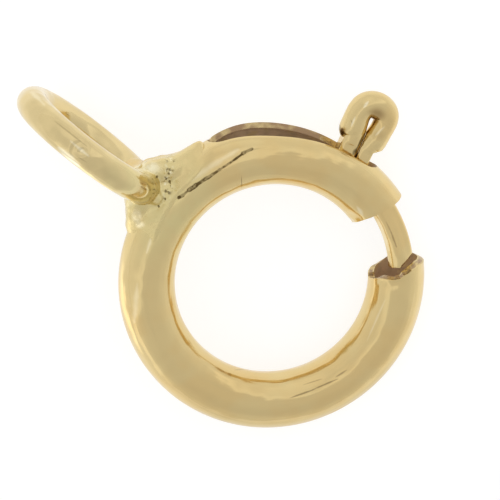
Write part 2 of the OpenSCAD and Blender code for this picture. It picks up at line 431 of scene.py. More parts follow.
def end_shift(turn, row):
    """How far the tube's slanted, uneven ends lie from its square ends, in degrees."""
    near_gate = max(0.0, 1.0 - (turn - GATE_AT) / END_BLEND)
    near_mouth = max(0.0, 1.0 - (MOUTH_AT - turn) / END_BLEND)
    at_gate, at_mouth = rim_at(GATE_RIM, row) - GATE_AT, rim_at(MOUTH_RIM, row) + 360.0 - MOUTH_AT
    return near_gate * at_gate + near_mouth * at_mouth


# Dents in the tube's ends and skin: angle round the ring, angle across the tube, half length along
# the tube and half width across it in millimetres, push along the tube and push into it.
TUBE_DENTS = (
    (77.0, 152, 0.16, 0.13, 0.0, 0.030), (73.0, 136, 0.13, 0.10, 0.0, 0.018),
    (71.5, 168, 0.12, 0.12, 0.010, 0.020), (38.8 + 360, 98, 0.14, 0.14, 0.0, 0.020),
    (39.5 + 360, 128, 0.10, 0.08, 0.0, 0.016),
)
# How far the bore's edge at the mouth is brought forward, how deep that reaches, and where across the
# tube and how far round it is brought twice as far.
RIM_FORWARD, RIM_DEPTH, RIM_PEAK_AT, RIM_PEAK_HALF = 0.065, 0.30, 172.0, 16.0


def dented(turn, row):
    """How far a point of the tube is pushed along it, in degrees, and into it."""
    along = into = 0.0
    for at, across, half_long, half_wide, push, depth in TUBE_DENTS:
        x = radians(turn - at) * BEND_R / half_long
        y = radians((degrees(row) % 360.0) - across) * TUBE_R / half_wide
        share = exp(-(x * x + y * y))
        along += push * share
        into += depth * share
    return degrees(along / BEND_R), into


# The lower lip: how far before its peak it starts, in degrees, how its two sides curve, and how far
# round the tube it reaches. Then where along the ring the upper lip rises, dips and stands apart, and
# how far round the tube each of these reaches.
LIP_START, LIP_BEFORE, LIP_AFTER, LIP_FELT = 38.0, 1.3, 0.6, radians(42)
UPPER_REACH, UPPER_FELT = (122.0, 149.0, 152.0, 162.0), radians(40)
DIP_REACH, DIP_ACROSS = (115.0, 148.0, 153.0, 165.0), radians(85)
SPREAD_REACH, SPREAD_FELT = (118.0, 136.0, SLOT_TO, SLOT_TO + 8.0), radians(35)


def lip_raise(turn, row):
    """How far the slot's edges stand out from the round of the tube.

    The lower lip stands out most near the eye's end. There the upper edge is raised too, where
    solder has run up to it.
    """
    if row < 0.0:
        if turn > LIP_PEAK_AT:
            along = max(0.0, 1.0 - ((turn - LIP_PEAK_AT) / (SLOT_TO + 1.2 - LIP_PEAK_AT)) ** 2) ** LIP_AFTER
        else:
            along = 1.0 - min(1.0, (LIP_PEAK_AT - turn) / LIP_START) ** LIP_BEFORE
        past_end = 1.0 - smoothstep(SLOT_TO - 2.0, SLOT_TO + 2.0, turn)
        across = 1.0 - smoothstep(SLOT_EDGE, SLOT_EDGE + LIP_FELT, -row)
        lower = LIP_RISE * along * across
        if row > -SLOT_EDGE + 0.001:
            lower *= smoothstep(0.0, SLOT_EDGE, -row) * past_end
    else:
        lower = 0.0
    across = 1.0 - smoothstep(SLOT_EDGE, SLOT_EDGE + UPPER_FELT, row)
    across *= smoothstep(-SLOT_EDGE, 0.0, row)
    return max(lower, UPPER_RISE * within(UPPER_REACH, turn) * across)


def upper_edge_dip(turn, row):
    """How far the slot's upper edge dips towards the middle near the eye's end."""
    if row > SLOT_EDGE:
        across = 1.0 - smoothstep(SLOT_EDGE, DIP_ACROSS, row)
    else:
        across = max(0.0, row / SLOT_EDGE)
    return radians(UPPER_DIP) * within(DIP_REACH, turn) * across


def lip_spread(turn, row):
    """How far the slot's edges stand apart beyond its width, where the drawn-back trigger comes to."""
    across = 1.0 - smoothstep(SLOT_EDGE, SLOT_EDGE + SPREAD_FELT, abs(row))
    return LIP_SPREAD * within(SPREAD_REACH, turn) * across * max(-1.0, min(1.0, row / SLOT_EDGE))


def tube_shell():
    """The bent tube's outer face, with its slot and its slanted ends."""
    bm = bmesh.new()
    upright = Matrix.Translation((BEND_R, 0, 0)) @ Matrix.Rotation(pi / 2, 4, "X")
    bmesh.ops.create_circle(bm, cap_ends=False, segments=SECTION, radius=TUBE_R, matrix=upright)
    for vert in bm.verts:
        row = section_row(atan2(vert.co.z, vert.co.x - BEND_R))
        vert.co = (BEND_R + TUBE_R * cos(row), 0.0, TUBE_R * sin(row))
    gate = Matrix.Rotation(radians(GATE_AT), 3, "Z")
    bmesh.ops.rotate(bm, verts=bm.verts, cent=(0, 0, 0), matrix=gate)
    last = bm.verts[:] + bm.edges[:]
    at = GATE_AT
    for to, steps in TUBE_STRETCHES:
        turn = radians(to - at)
        last = bmesh.ops.spin(bm, geom=last, cent=(0, 0, 0), axis=(0, 0, 1), angle=turn, steps=steps)["geom_last"]
        at = to
    bmesh.ops.recalc_face_normals(bm, faces=bm.faces)

    slack = 0.01
    in_slot = []
    for face in bm.faces:
        turn, row, _ = on_section(face.calc_center_median())
        if abs(row) < SLOT_EDGE and SLOT_FROM - slack < turn < SLOT_TO + slack:
            in_slot.append(face)
    bmesh.ops.delete(bm, geom=in_slot, context="FACES")

    for vert in bm.verts:
        turn, row, _ = on_section(vert.co)
        along, into = dented(turn, row)
        turn += slot_end_shift(turn, row)
        row -= upper_edge_dip(turn, row)
        x = (TUBE_R - into) * cos(row) + lip_raise(turn, row)
        z = (TUBE_R - into) * sin(row) + lip_spread(turn, row)
        turn += end_shift(turn, row) + along
        vert.co = on_ring(turn, BEND_R + x, z)
    return bm


def push_bore_forward(bm):
    """Brings the bore's edge at the mouth forward, so that the cut face slopes and shows."""
    for vert in bm.verts:
        turn, row, rho = on_section(vert.co)
        if hypot(rho - BEND_R, vert.co.z) > TUBE_R - WALL / 2:
            continue
        back = radians(MOUTH_AT + 3.0 - turn) * BEND_R
        push = RIM_FORWARD * (1.0 + exp(-((degrees(row) % 360.0 - RIM_PEAK_AT) / RIM_PEAK_HALF) ** 2))
        push *= 1.0 - smoothstep(0.0, RIM_DEPTH, back - 0.1)
        vert.co = on_ring(turn + degrees(push / BEND_R), rho, vert.co.z)


def round_sharp(bm, angle, width, segments):
    """Rounds the edges where two faces turn by more than an angle."""
    joined = [edge for edge in bm.edges if len(edge.link_faces) == 2]
    sharp = [edge for edge in joined if edge.calc_face_angle() > radians(angle)]
    bmesh.ops.bevel(
        bm, geom=sharp, offset=width, offset_type="OFFSET", affect="EDGES", segments=segments, profile=0.5,
        material=-1, clamp_overlap=True,
    )


class CLASP_OT_tube(bpy.types.Operator):
    """Makes the hollow ring tube with its slot, mouth and gate"""

    bl_idname = "clasp.tube"
    bl_label = "Ring tube"

    def execute(self, context):
        sizes = context.scene.clasp_sizes
        bm = through_modifier(
            tube_shell(), "SOLIDIFY", finishes=3, thickness=WALL, offset=-1.0, use_rim=True,
            material_offset=1, material_offset_rim=2,
        )
        push_bore_forward(bm)
        round_sharp(bm, 50, sizes.edge_round / MM, 3)
        finishes = (tube_gold(context), bore_tarnish_and_glow(context), cut_edge_gold(context))
        tube = add_piece("ring_tube", bm, finishes, "ring")
        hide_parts("ring_body")
        return {"FINISHED"}


# Eye and solder -----------------------------------------------------------------------------------


class CLASP_OT_eye(bpy.types.Operator):
    """Makes the round wire eye that stands across the ring"""

    bl_idname = "clasp.eye"
    bl_label = "Eye"

    def execute(self, context):
        bm = bmesh.new()
        start = Matrix.Translation((EYE_BEND, 0, 0))
        bmesh.ops.create_circle(bm, cap_ends=False, segments=56, radius=EYE_WIRE_R, matrix=start)
        bmesh.ops.spin(
            bm, geom=bm.verts[:] + bm.edges[:], cent=(0, 0, 0), axis=(0, 1, 0), angle=2 * pi, steps=160,
            use_merge=True,
        )
        bmesh.ops.translate(bm, verts=bm.verts, vec=(-EYE_OUT, 0, 0))
        point_outwards(bm)
        add_piece("eye", bm, (eye_gold(context),), "ring")
        return {"FINISHED"}


# The lumps that the solder is gathered from: angle round the ring, distance, height, radius.
SOLDER_LUMPS = (
    (174.3, 3.26, 0.14, 0.24), (174.5, 3.20, -0.14, 0.24), (171.0, 3.10, 0.14, 0.26),
    (171.0, 3.06, -0.12, 0.26), (167.5, 2.95, 0.10, 0.28), (167.5, 2.92, -0.10, 0.28),
    (163.5, 2.84, 0.06, 0.31), (163.5, 2.82, -0.06, 0.31), (160.0, 2.84, 0.04, 0.31),
    (157.6, 2.82, 0.02, 0.30), (156.9, 3.02, 0.05, 0.14), (155.4, 3.02, 0.05, 0.13),
    (186.0, 3.08, 0.12, 0.25), (186.0, 3.06, -0.12, 0.25), (190.0, 2.94, 0.10, 0.25),
    (190.0, 2.94, -0.10, 0.25), (194.0, 2.84, 0.02, 0.28), (176.5, 2.90, 0.22, 0.20),
    (180.0, 2.88, 0.28, 0.17), (180.0, 2.96, 0.42, 0.12), (183.5, 2.88, 0.20, 0.20),
)
SOLDER_VOXEL = 0.02
SOLDER_FROM, SOLDER_TO = 150.5, 206.0
SOLDER_SMOOTHING = 50
# How deep the solder lies in the metal where it ends and how far it stands out where it covers, how
# thick its shell is, and how little cover leaves none.
SOLDER_SUNK, SOLDER_PROUD, SOLDER_SHELL, LEAST_COVER = 0.035, 0.068, 0.05, 0.25


# Where the solder's cover starts or ends: round the ring, by the slot's end and past the eye; round the
# tube's underside; out from the eye's wire; from the joint's middle; out from the tube's middle line.
COVER_STARTS, COVER_ENDS, COVER_UNDER = (152.2, 155.2), (190.0, 203.0), (-110.0, -70.0)
EYE_FILM, JOINT_REACH, TUBE_REACH = (0.03, 0.12), (0.55, 0.85), (0.75, 0.95)


def solder_cover(point):
    """1 where solder covers the tube and the eye, and 0 past its edge."""
    turn, row, rho = on_section(point)
    out, row = rho - BEND_R, degrees(row)
    wander = noise.noise(point * 3.0)
    edge = 58.0 + (turn - 156.0) * 0.75 + 8.0 * wander
    on_tube = smoothstep(*COVER_STARTS, turn + wander) * (1.0 - smoothstep(*COVER_ENDS, turn + 5.0 * wander))
    on_tube *= (1.0 - smoothstep(edge - 14.0, edge + 8.0, row)) * smoothstep(*COVER_UNDER, row)
    from_eye = hypot(hypot(point.x + EYE_OUT, point.z) - EYE_BEND, point.y)
    on_eye = 1.0 - smoothstep(EYE_WIRE_R + EYE_FILM[0], EYE_WIRE_R + EYE_FILM[1], from_eye)
    near = 1.0 - smoothstep(*JOINT_REACH, (point - on_ring(180.0, 3.12)).length + 0.1 * wander)
    off_tube = smoothstep(*TUBE_REACH, hypot(out, point.z))
    return on_tube * (1.0 - off_tube) + (near * on_eye + 1.0 - on_eye) * off_tube


class CLASP_OT_solder(bpy.types.Operator):
    """Makes the rough solder that joins the eye to the tube"""

    bl_idname = "clasp.solder"
    bl_label = "Solder"

    def execute(self, context):
        bm = bmesh.new()
        for turn, radius, height, size in SOLDER_LUMPS:
            place = Matrix.Translation(on_ring(turn, radius, height))
            bmesh.ops.create_icosphere(bm, subdivisions=3, radius=size, matrix=place)
        upright = Matrix.Rotation(radians(SOLDER_FROM), 4, "Z") @ Matrix.Translation((BEND_R, 0, 0))
        upright = upright @ Matrix.Rotation(pi / 2, 4, "X")
        self.bent_rod(bm, TUBE_R + 0.005, upright, (0, 0, 0), (0, 0, 1), SOLDER_TO - SOLDER_FROM)
        eye = Matrix.Translation((-EYE_OUT, 0, 0)) @ Matrix.Rotation(radians(50), 4, "Y")
        eye = eye @ Matrix.Translation((EYE_BEND, 0, 0))
        self.bent_rod(bm, EYE_WIRE_R, eye, (-EYE_OUT, 0, 0), (0, 1, 0), -100.0)
        bm = through_modifier(bm, "REMESH", mode="VOXEL", voxel_size=SOLDER_VOXEL)
        for _ in range(SOLDER_SMOOTHING):
            bmesh.ops.smooth_vert(
                bm, verts=bm.verts, factor=0.5, use_axis_x=True, use_axis_y=True, use_axis_z=True
            )
        bm.normal_update()
        cover = {vert: solder_cover(vert.co) for vert in bm.verts}
        moved = {}
        for vert, share in cover.items():
            rough = 0.008 * noise.noise(vert.co * 4.0) + 0.004 * noise.noise(vert.co * 11.0)
            moved[vert] = vert.co + vert.normal * (share * (SOLDER_PROUD + rough) - SOLDER_SUNK)
        for vert, place in moved.items():
            vert.co = place
        sunk = [face for face in bm.faces if max(cover[vert] for vert in face.verts) < LEAST_COVER]
        bmesh.ops.delete(bm, geom=sunk, context="FACES")
        bm = through_modifier(bm, "SOLIDIFY", thickness=SOLDER_SHELL, offset=-1.0, use_rim=True)
        add_piece("solder", bm, (solder_skin(context),), "ring")
        return {"FINISHED"}

    def bent_rod(self, bm, radius, start, centre, axis, turn):
        """A round rod with closed ends, bent round an axis."""
        ring = bmesh.ops.create_circle(bm, cap_ends=True, segments=48, radius=radius, matrix=start)["verts"]
        face = [face for face in ring[0].link_faces if len(face.verts) == len(ring)]
        kept = bmesh.ops.duplicate(bm, geom=face)["geom"]
        bmesh.ops.reverse_faces(bm, faces=[part for part in kept if isinstance(part, bmesh.types.BMFace)])
        bmesh.ops.spin(bm, geom=face, cent=centre, axis=axis, angle=radians(turn), steps=40)
        bmesh.ops.remove_doubles(bm, verts=bm.verts, dist=1e-5)


# Tongue -------------------------------------------------------------------------------------------


def arc(turn_from, turn_to, radius, size, steps):
    return [
        (on_ring(turn_from + (turn_to - turn_from) * i / steps, radius), size) for i in range(steps + 1)
    ]


# The two legs of the trigger, right and left, from inside the side wires down to the foot: along the
# trigger, across it, radius. Pliers have pressed their sides flat, at these distances across.
LEGS = {
    -1: (
        (3.46, -0.256, 0.16),
        (3.40, -0.250, 0.226),
        (3.26, -0.205, 0.236),
        (3.10, -0.160, 0.238),
        (2.95, -0.146, 0.236),
    ),
    1: (
        (3.46, 0.266, 0.17),
        (3.40, 0.264, 0.246),
        (3.25, 0.224, 0.252),
        (3.10, 0.205, 0.250),
        (2.95, 0.200, 0.245),
    ),
}
LEG_FLATS = {-1: (-0.278, -0.010), 1: (0.006, 0.385)}
# Half the height of the pressed legs.
LEG_HEIGHT = 0.218
# How far the right leg, the left leg and the height spread past these flats where the side wires lie
# over them, where along the trigger each starts to spread, and over what length. Then where along it
# the pressing starts and is whole.
RIGHT_SPREAD, LEFT_SPREAD, HEIGHT_SPREAD = (0.25, 3.08, 0.12), (0.125, 3.16, 0.14), (0.1, 3.06, 0.14)
PRESSED_FROM = (2.68, 2.84)
# The tip: where it is cut square, and where its filed bevel passes (angle, distance, height) and faces.
TIP_CUT_AT = 41.9
TIP_BEVEL_AT, TIP_BEVEL = (42.0, 2.512, 0.242), (0.72, 0.34, 0.61)
# The flat along the tongue's upper side: the way it faces, its distance from the wire's middle, how
# fully it is pressed, and where round the ring it fades in towards the gate and towards the tip.
FLAT_AT, FLAT_OUT, FLAT_SHARE = 65.0, 0.186, 0.92
FLAT_BY_GATE, FLAT_BY_TIP = (82.0, 76.0), (43.5, 49.0)

# The trigger from its right shoulder round to its left: along the trigger, across it, radius.
TRIGGER_STOPS = (
    (3.045, -0.270, 0.060), (3.062, -0.266, 0.120), (3.10, -0.254, 0.178), (3.17, -0.246, 0.220),
    (3.28, -0.246, 0.238), (3.40, -0.254, 0.238), (3.52, -0.266, 0.232), (3.64, -0.274, 0.234),
    (3.75, -0.262, 0.246), (3.85, -0.212, 0.256), (3.915, -0.120, 0.264), (3.938, 0.010, 0.270),
    (3.915, 0.135, 0.266), (3.85, 0.222, 0.260), (3.75, 0.268, 0.254), (3.63, 0.282, 0.252),
    (3.50, 0.276, 0.260), (3.40, 0.268, 0.266), (3.33, 0.262, 0.266), (3.27, 0.252, 0.254),
    (3.21, 0.236, 0.224), (3.165, 0.222, 0.180), (3.14, 0.216, 0.110),
)


def foot(side, steps=8):
    """A leg and its bend inside the tube to the tongue's arc, and where it meets the arc."""
    leg_y, leg_r = LEGS[side][-1][1:]
    centre_y = leg_y + side * FOOT_BEND
    centre_x = sqrt((TONGUE_R + FOOT_BEND) ** 2 - (centre_y - BESIDE) ** 2)
    towards = atan2(-(centre_y - BESIDE), -centre_x)
    leg = -side * pi / 2
    turn = (towards - leg + pi) % (2 * pi) - pi
    stops = [(trigger_point(x, y), size) for x, y, size in LEGS[side]]
    for i in range(steps + 1):
        a = leg + turn * i / steps
        size = leg_r + (WIRE_R - 0.01 - leg_r) * i / steps
        stops.append((trigger_point(centre_x + FOOT_BEND * cos(a), centre_y + FOOT_BEND * sin(a)), size))
    return stops, degrees(atan2(centre_y - BESIDE, centre_x)) + TRIGGER_TURN


def spread(x, by, start, length):
    """Nothing before the start, and all of it a length further on."""
    return by * min(1.0, max(0.0, (x - start) / length))


def press_leg(bm, side):
    """Presses a leg's sides and its top and bottom flat, up to where the side wire spreads over it."""
    turn = Matrix.Rotation(radians(-TRIGGER_TURN), 3, "Z")
    back = turn.inverted()
    low, high = LEG_FLATS[side]
    for vert in bm.verts:
        here = turn @ vert.co
        x, y = here.x, here.y + BESIDE
        if side < 0:
            least, most = low - spread(x, *RIGHT_SPREAD), high
        else:
            least, most = low, high + spread(x, *LEFT_SPREAD)
        share = smoothstep(*PRESSED_FROM, x)
        pressed = min(most, max(least, y))
        tall = LEG_HEIGHT + spread(x, *HEIGHT_SPREAD)
        z = here.z + share * (min(tall, max(-tall, here.z)) - here.z)
        vert.co = back @ Vector((x, y + share * (pressed - y) - BESIDE, z))


def shape_arc(bm):
    """Presses the flat along the tongue's upper side and files its tip."""
    lean = radians(FLAT_AT)
    for vert in bm.verts:
        rho = hypot(vert.co.x, vert.co.y)
        turn = ring_angle(vert.co) % 360.0
        proud = (rho - TONGUE_R) * cos(lean) + vert.co.z * sin(lean) - FLAT_OUT
        share = smoothstep(*(FLAT_BY_GATE if turn > 60 else FLAT_BY_TIP), turn)
        if proud > 0 and turn < 90:
            rho -= FLAT_SHARE * share * proud * cos(lean)
            vert.co = on_ring(turn, rho, vert.co.z - FLAT_SHARE * share * proud * sin(lean))
    cut = Matrix.Rotation(radians(TIP_BEVEL_AT[0]), 3, "Z")
    square = Matrix.Rotation(radians(TIP_CUT_AT), 3, "Z") @ Vector((0.05, -1.0, 0.0))
    bevel = cut @ Vector((TIP_BEVEL[0], -TIP_BEVEL[2], TIP_BEVEL[1]))
    on_square = on_ring(TIP_CUT_AT, TONGUE_R)
    on_bevel = on_ring(*TIP_BEVEL_AT)
    for place, away in ((on_square, square), (on_bevel, bevel)):
        near = [vert for vert in bm.verts if (vert.co - on_square).length < 0.7]
        geom = near + [e for e in bm.edges if all(v in near for v in e.verts)]
        geom += [f for f in bm.faces if all(v in near for v in f.verts)]
        made = bmesh.ops.bisect_plane(bm, geom=geom, plane_co=place, plane_no=away, clear_outer=True)["geom_cut"]
        bmesh.ops.holes_fill(bm, edges=[part for part in made if isinstance(part, bmesh.types.BMEdge)], sides=0)


class CLASP_OT_tongue(bpy.types.Operator):
    """Makes the sprung wire tongue and its trigger"""

    bl_idname = "clasp.tongue"
    bl_label = "Tongue"

    def execute(self, context):
        right, right_at = foot(-1)
        left, left_at = foot(1)
        reach = right + arc(right_at - 3.0, TONGUE_TIP_AT - 3.0, TONGUE_R, WIRE_R, 20)
        tail = left + arc(left_at + 2.0, TAIL_TO, TONGUE_R, WIRE_R, 3)
        trigger = [(trigger_point(x, y), size) for x, y, size in TRIGGER_STOPS]
        whole = bmesh.new()
        for stops, side in ((reach, -1), (trigger, 0), (tail, 1)):
            bm = wire_along(stops, 22, "BEZIER")
            if side:
                press_leg(bm, side)
            if side < 0:
                shape_arc(bm)
            bmesh.ops.recalc_face_normals(bm, faces=bm.faces)
            mesh = mesh_of(bm, "length")
            whole.from_mesh(mesh)
            bpy.data.meshes.remove(mesh)
        round_sharp(whole, 35, 0.012, 2)
        tongue = add_piece("tongue_wire", whole, (tongue_gold(context),), "slide")
        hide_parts("tongue")
        return {"FINISHED"}


class CLASP_OT_spring(bpy.types.Operator):
    """Makes the coiled spring inside the tube"""

    bl_idname = "clasp.spring"
    bl_label = "Spring"

    def execute(self, context):
        sizes = context.scene.clasp_sizes
        steps = sizes.spring_turns * 20
        stops = []
        for i in range(steps + 1):
            turn = SPRING_FROM + (SPRING_TO - SPRING_FROM) * i / steps
            coil = 2 * pi * sizes.spring_turns * i / steps
            place = on_ring(turn, BEND_R + SPRING_R * cos(coil), SPRING_R * sin(coil))
            stops.append((place, sizes.spring_wire / MM / 2))
        bm = wire_along(stops, 2)
        spring = add_piece("spring_coil", bm, (spring_metal(context),), None)
        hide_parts("spring")
        start = RING @ on_ring(SPRING_TO, BEND_R)
        end = RING @ on_ring(SPRING_FROM, BEND_R)
        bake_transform(spring)
        return {"FINISHED"}


# Finishes -----------------------------------------------------------------------------------------


# How deep the marks in polished metal and the corrosion of dull metal are shown.
MARK_DEPTH, CORROSION_DEPTH = 0.012 * MM, 0.02 * MM


def polished(skin, place, gold, rough):
    """Colour, roughness and height of polished gold that was drawn, bent and handled."""
    turn, out, z = skin.tube_place(place)
    lines = skin.drawn_lines(turn, out, z, 6.0, 0.030)
    cloud = skin.grain(place, 1.3)
    waves = skin.grain(place, 1.9, 1.0)
    fine = skin.grain(place, 14.0, 3.0)
    warm = tuple(c * k for c, k in zip(gold, (1.0, 0.955, 0.90)))
    colour = skin.mix(cloud.step(0.38, 0.66), gold, warm)
    colour = skin.mix(lines.step(0.55, 0.75) * 0.3, colour, shade(gold, 0.9))
    height = lines * 1.6 + waves * 4.8 + fine * 0.05
    return colour, rough + lines * 0.05 + fine * 0.04, height


# The stain round the joint, in the photograph's pixels: its middle and half its size.
STAIN_AT, STAIN_HALF = (160, 198), (50, 52)


def joint_stain(skin, place, at):
    """Where heat and solder have left the gold by the eye pale and a little green."""
    upper = skin.parts(place)[2].step(-0.25, 0.0)
    cloud = skin.grain(place, 2.6, 3.0).step(0.32, 0.6)
    return upper * skin.spot(at, STAIN_AT, STAIN_HALF, 1.1) * (0.35 + 0.65 * cloud)


def marks_on(skin, at, colour, upper, marks, waver, tone, soft=1.8, taper=0.8):
    """Draws uneven streaks or lines of one tone on a colour; soft is their edge in half widths."""
    for start, end, half_width, strength in marks:
        line = skin.stroke(at, start, end, half_width, half_width * soft, taper, waver)
        colour = skin.mix(upper * line * strength, colour, tone)
    return colour


# The outer side painted darker as shade, and made a little rougher: its middle angle round the ring and half its
# length, in degrees.
SHADED_SIDE = (-40.0, 60.0)
# Marks on the tube's skin, in the photograph's pixels: the groove beside the solder in short reaches and their
# half widths, painted dark as shade in its hollow with dirt;
# then dark hairlines, most of them painted dark shade lines; then painted highlight streaks.
GROOVE = (
    (176, 195), (178.5, 198), (183, 195.5), (189, 190.5), (197, 185), (208, 178), (220, 170), (234, 160.5),
    (243, 154), (252, 149.5),
)
GROOVE_WIDTHS = (1.4, 1.7, 1.1, 2.1, 1.8, 1.5, 0.9, 1.0, 1.7)
HAIRLINES_AND_SHADE_LINES = (
    ((241.4, 176), (241.8, 189), 0.45, 0.55), ((290, 398), (316, 389), 0.8, 0.55),
    ((312, 390), (338, 379), 1.0, 0.65), ((336, 377), (347, 370), 0.8, 0.45),
    ((303, 385), (322, 379), 0.6, 0.35), ((234, 370), (262, 368), 0.7, 0.25),
)
TUBE_HIGHLIGHTS = (
    ((178, 188), (238, 150), 2.4, 0.40), ((152, 236), (147, 253), 1.5, 0.50),
    ((137.5, 284), (134.5, 322), 2.2, 0.35), ((367, 341), (385, 300), 1.0, 0.35),
    ((357, 207), (363, 216), 1.6, 0.6),
)


def tube_gold(context):
    looks, skin, place = new_skin(context, "tube_gold")
    gold, grime_and_shade = looks.gold, looks.grime_and_shade
    colour, rough, height = polished(skin, place, gold, looks.polish)
    at = skin.photo_place()
    turn, out, z = skin.tube_place(place)
    upper = z.step(-0.1, 0.05)
    stain = joint_stain(skin, place, at)
    colour = skin.mix(stain * 0.8, colour, looks.solder)
    # Painted shade: the outer side over this reach is darkened, and made a little rougher.
    shaded_side = (turn - SHADED_SIDE[0]).size().step(SHADED_SIDE[1], SHADED_SIDE[1] / 2) * out.step(0.30, 0.42)
    colour = skin.mix(shaded_side * 0.6, colour, shade(gold, 0.78))

    waver = skin.grain(place, 5.0, 2.0)
    # Painted highlight streaks in a pale tone.
    colour = marks_on(skin, at, colour, upper, TUBE_HIGHLIGHTS, waver, (0.97, 0.87, 0.60))
    groove = None
    for start, end, half_width in zip(GROOVE, GROOVE[1:], GROOVE_WIDTHS):
        part = skin.stroke(at, start, end, half_width, 0.9, 0.0, waver)
        groove = part if groove is None else groove.larger(part)
    # The groove is darkened: painted shade in its hollow, with dirt, and it is also sunk in the bumps.
    dark = upper * groove * (0.55 + 0.45 * skin.grain(place, 9.0, 3.0).step(0.40, 0.55))
    colour = skin.mix(dark * 0.97, colour, grime_and_shade)
    height = height - dark * 1.2
    # Dark hairlines, most of them painted dark shade lines.
    colour = marks_on(skin, at, colour, upper, HAIRLINES_AND_SHADE_LINES, waver, grime_and_shade, 1.6, 0.9)
    rough = rough + stain * 0.10 + dark * 0.3 + shaded_side * 0.08
    return skin.surface(colour, rough, (height, 0.6, MARK_DEPTH))


# Marks on the eye in the photograph's pixels: shallow dents with their depth, painted highlight streaks and
# painted dark shade lines.
EYE_DENTS = (
    ((117, 178), (17, 11), 4.0), ((81, 149), (8, 7), 5.0), ((84, 152), (4, 3), 3.0), ((96, 165), (7, 5), 1.5),
)
EYE_HIGHLIGHTS = (
    ((60, 148), (80, 166), 2.2, 0.75), ((72, 142), (90, 157), 1.3, 0.55), ((26, 86), (46, 106), 1.8, 0.35),
    ((44, 100), (134, 168), 0.8, 0.35),
)
EYE_SHADE_LINES = (
    ((56, 122), (88, 147), 0.8, 0.30), ((78, 157), (88, 163), 0.8, 0.25),
)


def eye_gold(context):
    looks, skin, place = new_skin(context, "eye_gold")
    at = skin.photo_place()
    upper = skin.parts(place)[2].step(0.0, 0.2)
    cloud = skin.grain(place, 2.0)
    waves = skin.grain(place, 2.2, 1.0)
    fine = skin.grain(place, 14.0, 3.0)
    waver = skin.grain(place, 6.0, 2.0)
    colour = skin.mix(cloud.step(0.35, 0.65), looks.wire_gold, shade(looks.wire_gold, 0.93))
    colour = skin.mix(joint_stain(skin, place, at) * 0.7, colour, looks.solder)
    height = waves * 4.5 + fine * 0.05
    for middle, radius, depth in EYE_DENTS:
        height = height - upper * skin.spot(at, middle, radius, 0.9) * depth
    # Painted highlights along the eye's band, then painted dark shade lines.
    colour = marks_on(skin, at, colour, upper, EYE_HIGHLIGHTS, waver, (0.97, 0.90, 0.66))
    colour = marks_on(skin, at, colour, upper, EYE_SHADE_LINES, waver, looks.grime_and_shade, 1.8, 0.9)
    pits = upper * skin.stroke(at, (112, 151), (131, 165), 0.8) * skin.grain(place, 16.0, 3.0).step(0.46, 0.56)
    colour = skin.mix(pits * 0.8, colour, looks.grime_and_shade)
    return skin.surface(colour, looks.polish + fine * 0.05, (height, 0.6, MARK_DEPTH))


# Marks on the tongue in the photograph's pixels: painted brown shade in the bend, painted dark shade lines,
# painted glints.
TONGUE_SHADES = (
    ((376.5, 115), (7, 6), 0.75), ((373, 120.5), (5, 3), 0.6), ((378, 136), (5, 4), 0.25),
    ((343, 131), (4, 3), 0.4),
)
TONGUE_SHADE_LINES = (
    ((339.3, 125), (341, 134.5), 1.0, 0.75), ((364, 134), (355, 152), 0.9, 0.85),
    ((356, 149), (353.5, 154), 1.6, 0.7), ((352.5, 124.5), (350.5, 120), 0.5, 0.35),
    ((386, 222), (391.5, 233), 0.6, 0.25), ((391, 232), (396.5, 247), 0.9, 0.40),
)
TONGUE_GLINTS = (
    ((351, 127), (355, 117), 0.9, 0.6), ((363.5, 108), (368, 102), 1.2, 0.65),
    ((375, 136), (384, 127), 1.1, 0.40), ((377, 215), (389, 250), 2.0, 0.45),
)


def tongue_gold(context):
    looks, skin, place = new_skin(context, "tongue_gold")
    at = skin.photo_place()
    colour, rough, height = polished(skin, place, looks.gold, looks.polish)
    upper = skin.parts(place)[2].step(-0.15, 0.0)
    waver = skin.grain(place, 6.0, 2.0)
    # Painted brown shade in the loop's inner bend and by the left shoulder.
    for middle, radius, strength in TONGUE_SHADES:
        colour = skin.mix(upper * skin.spot(at, middle, radius, 1.4) * strength, colour, (0.36, 0.235, 0.10))
    # Painted dark shade in the shoulder's notch, down the slit and along the arc; then painted glints.
    colour = marks_on(skin, at, colour, upper, TONGUE_SHADE_LINES, waver, looks.grime_and_shade, 1.4, 0.5)
    colour = marks_on(skin, at, colour, upper, TONGUE_GLINTS, waver, (0.98, 0.90, 0.66))
    return skin.surface(colour, rough, (height, 0.5, MARK_DEPTH))


# The crusted strip on the solder from end to end, a darker patch and pale patches of painted highlight, and pits,
# in the photograph's pixels.
SOLDER_CRUST = ((171, 158), (167, 200))
SOLDER_PATCHES_AND_HIGHLIGHTS = (
    ((143, 183), (10, 9), (0.58, 0.48, 0.19), 0.3), ((146, 168), (14, 6), (0.93, 0.86, 0.60), 0.9),
    ((137, 216), (4, 6), (1.0, 0.88, 0.56), 1.0), ((140.5, 225), (4, 3), (1.0, 0.88, 0.56), 0.9),
    ((129, 203), (3.5, 3.5), (1.0, 0.88, 0.56), 0.7),
)
SOLDER_PITS = (
    ((166, 191.5), 1.2), ((165.3, 199), 0.9), ((159, 206.6), 0.9), ((170, 182), 1.0), ((169, 174), 1.0),
    ((157.5, 177), 1.0),
)


